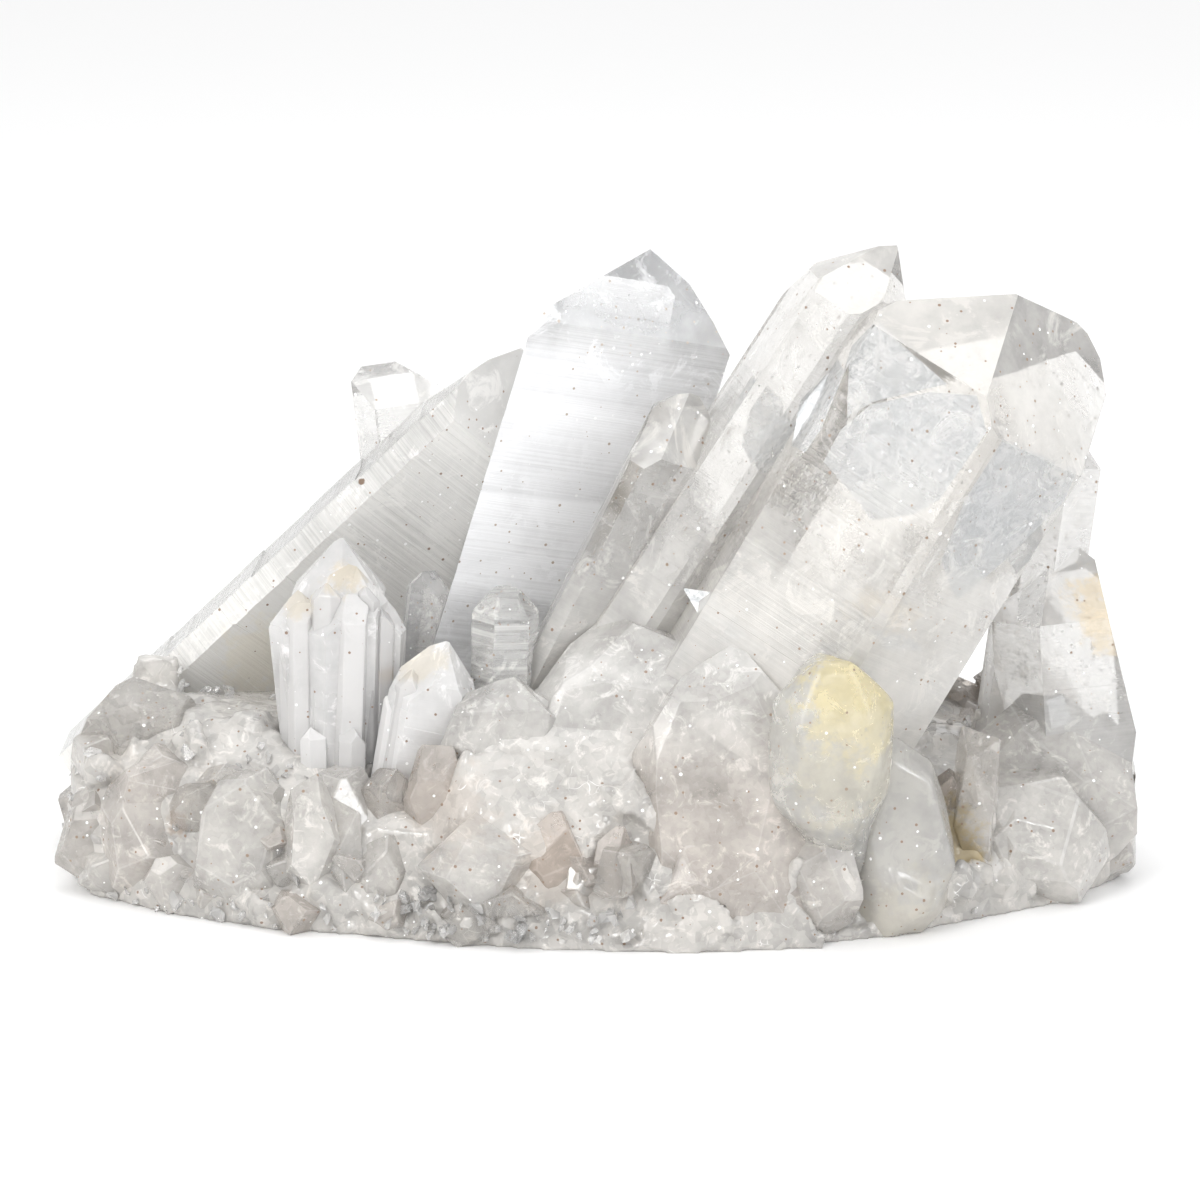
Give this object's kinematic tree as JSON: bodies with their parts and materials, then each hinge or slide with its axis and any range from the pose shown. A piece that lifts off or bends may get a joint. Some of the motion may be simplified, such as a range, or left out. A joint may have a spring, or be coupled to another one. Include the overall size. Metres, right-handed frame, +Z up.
{
  "type": "quartz crystal cluster",
  "caption": "Cluster of clear pointed quartz crystals of many sizes leaning apart from a milky broken base, resting on a flat cut underside.",
  "frame": {"origin": "middle of the flat underside, below the middle of the whole cluster's box", "axes": "+Z up, -Y towards the side shown in the picture, +X to that side's right, along the longest extent"},
  "size_m": [0.1326, 0.0702, 0.0775],
  "materials": {
    "clear_quartz": "clear, polished natural faces with fine cross striations, cloudy towards the roots",
    "grey_quartz": "smoky grey, rounded and slightly frosted",
    "yellow_quartz": "milky cream with a clear yellow stain near its top, smooth and rounded",
    "milky_quartz": "milky, sugary and broken, with brown iron stain in the hollows and dark specks"
  },
  "bodies": {
    "root": {"right_group": "clear_quartz", "right_stub": "clear_quartz", "centre_tall": "clear_quartz", "left_long": "clear_quartz", "back_left": "clear_quartz", "yellow_front": "yellow_quartz", "fan_group": "clear_quartz", "small_clear": "clear_quartz", "small_blade": "clear_quartz", "front_grey": "grey_quartz", "back_mid": "clear_quartz", "back_right": "clear_quartz", "back_low": "clear_quartz", "druse_base": "milky_quartz"}
  },
  "joints": []
}
